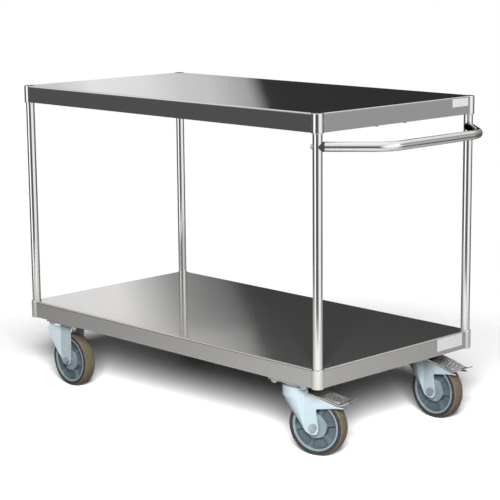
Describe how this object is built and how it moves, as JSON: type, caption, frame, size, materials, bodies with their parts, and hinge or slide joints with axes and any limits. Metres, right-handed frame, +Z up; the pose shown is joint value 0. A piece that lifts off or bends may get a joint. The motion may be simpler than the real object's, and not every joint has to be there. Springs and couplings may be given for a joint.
{
  "type": "table trolley",
  "caption": "Stainless steel table trolley with two solid decks, a tubular push handle, fixed castors and braked swivel castors.",
  "frame": {"origin": "on the floor under the middle of the whole outline, handle included", "axes": "+X along the decks towards the push handle, +Y across the decks towards the back, +Z up"},
  "size_m": [1.3404, 0.627, 0.905],
  "materials": {
    "deck_steel": "brushed stainless sheet",
    "tube_steel": "polished stainless tube",
    "sleeve_steel": "satin stainless",
    "zinc_steel": "bright zinc plate",
    "fastener_steel": "zinc plate",
    "bush_steel": "ground",
    "pedal_steel": "polished",
    "black_plastic": "matte",
    "wheel_plastic": "satin",
    "tyre_rubber": "matte",
    "brake_rubber": "matte",
    "label_white": "plain"
  },
  "bodies": {
    "frame": {"upper_deck": "deck_steel", "lower_deck": "deck_steel", "upper_stiffener": "deck_steel", "castor_channel_left": "deck_steel", "castor_channel_right": "deck_steel", "upper_sleeve_front_left": "sleeve_steel", "lower_sleeve_front_left": "sleeve_steel", "post_front_left": "tube_steel", "upper_sleeve_front_right": "sleeve_steel", "lower_sleeve_front_right": "sleeve_steel", "post_front_right": "tube_steel", "upper_sleeve_back_left": "sleeve_steel", "lower_sleeve_back_left": "sleeve_steel", "post_back_left": "tube_steel", "upper_sleeve_back_right": "sleeve_steel", "lower_sleeve_back_right": "sleeve_steel", "post_back_right": "tube_steel", "push_handle": "tube_steel", "handle_spacers": "black_plastic", "handle_bolts": "fastener_steel", "label_upper": "label_white", "label_lower": "label_white", "castor_bolts": "fastener_steel", "castor_nuts": "fastener_steel", "plate_front_left": "zinc_steel", "plate_front_right": "zinc_steel", "plate_back_left": "zinc_steel", "plate_back_right": "zinc_steel", "kingpins": "fastener_steel", "fork_front_left": "zinc_steel", "fork_back_left": "zinc_steel", "fixed_axle_bolts": "fastener_steel", "fixed_axle_nuts": "fastener_steel"},
    "wheel_front_left": {"rim_front_left": "wheel_plastic", "tyre_front_left": "tyre_rubber", "bush_front_left": "bush_steel"},
    "swivel_front_right": {"fork_front_right": "zinc_steel", "ball_ring_front_right": "fastener_steel", "axle_bolt_front_right": "fastener_steel", "axle_nut_front_right": "fastener_steel", "pedal_pin_front_right": "fastener_steel"},
    "wheel_front_right": {"rim_front_right": "wheel_plastic", "tyre_front_right": "tyre_rubber", "bush_front_right": "bush_steel"},
    "brake_front_right": {"pedal_front_right": "pedal_steel", "brake_shoe_front_right": "brake_rubber"},
    "wheel_back_left": {"rim_back_left": "wheel_plastic", "tyre_back_left": "tyre_rubber", "bush_back_left": "bush_steel"},
    "swivel_back_right": {"fork_back_right": "zinc_steel", "ball_ring_back_right": "fastener_steel", "axle_bolt_back_right": "fastener_steel", "axle_nut_back_right": "fastener_steel", "pedal_pin_back_right": "fastener_steel"},
    "wheel_back_right": {"rim_back_right": "wheel_plastic", "tyre_back_right": "tyre_rubber", "bush_back_right": "bush_steel"},
    "brake_back_right": {"pedal_back_right": "pedal_steel", "brake_shoe_back_right": "brake_rubber"}
  },
  "joints": [
    {"name": "wheel_roll_front_left", "type": "hinge", "parent": "frame", "child": "wheel_front_left", "pos_m": [-0.54075, -0.249, 0.08], "axis": [0, 1, 0], "continuous": true},
    {"name": "swivel_turn_front_right", "type": "hinge", "parent": "frame", "child": "swivel_front_right", "pos_m": [0.40925, -0.249, 0.183], "axis": [0, 0, 1], "continuous": true},
    {"name": "wheel_roll_front_right", "type": "hinge", "parent": "swivel_front_right", "child": "wheel_front_right", "pos_m": [0.46415, -0.23367, 0.08], "axis": [-0.2689, 0.9632, 0], "continuous": true},
    {"name": "brake_press_front_right", "type": "hinge", "parent": "swivel_front_right", "child": "brake_front_right", "pos_m": [0.44392, -0.23932, 0.1655], "axis": [-0.2689, 0.9632, 0], "range_deg": [0, 2], "stiffness_Nm_per_rad": 5},
    {"name": "wheel_roll_back_left", "type": "hinge", "parent": "frame", "child": "wheel_back_left", "pos_m": [-0.54075, 0.249, 0.08], "axis": [0, 1, 0], "continuous": true},
    {"name": "swivel_turn_back_right", "type": "hinge", "parent": "frame", "child": "swivel_back_right", "pos_m": [0.40925, 0.249, 0.183], "axis": [0, 0, 1], "continuous": true},
    {"name": "wheel_roll_back_right", "type": "hinge", "parent": "swivel_back_right", "child": "wheel_back_right", "pos_m": [0.46625, 0.249, 0.08], "axis": [0, 1, 0], "continuous": true},
    {"name": "brake_press_back_right", "type": "hinge", "parent": "swivel_back_right", "child": "brake_back_right", "pos_m": [0.44525, 0.249, 0.1655], "axis": [0, 1, 0], "range_deg": [0, 2], "stiffness_Nm_per_rad": 5}
  ]
}
